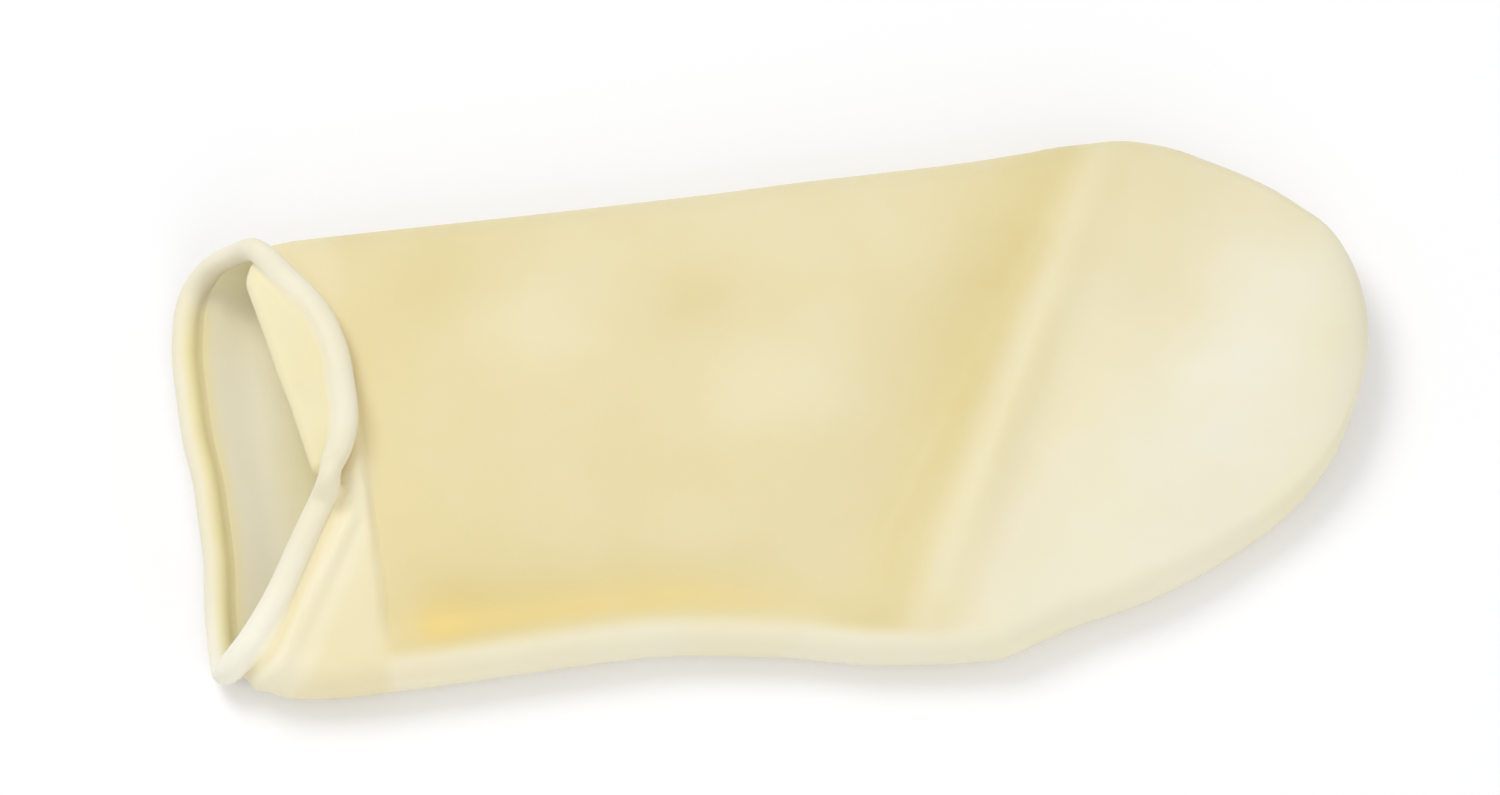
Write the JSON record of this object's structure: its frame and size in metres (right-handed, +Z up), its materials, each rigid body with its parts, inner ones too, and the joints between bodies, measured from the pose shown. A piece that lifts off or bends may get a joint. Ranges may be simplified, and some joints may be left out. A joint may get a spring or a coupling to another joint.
{
  "type": "finger cot",
  "caption": "Thin-walled elastic finger cover with a closed round tip and a rolled bead at its mouth, lying on its side with the mouth partly folded back.",
  "frame": {"origin": "middle of the object in plan, on the floor that it lies on", "axes": "+X from the mouth to the closed tip, +Y towards the far side of the flattened tube, +Z up from the floor"},
  "size_m": [0.064, 0.0296, 0.0082],
  "materials": {
    "latex_film": "soft satin natural latex"
  },
  "bodies": {
    "root": {"finger_cot": "latex_film"}
  },
  "joints": []
}
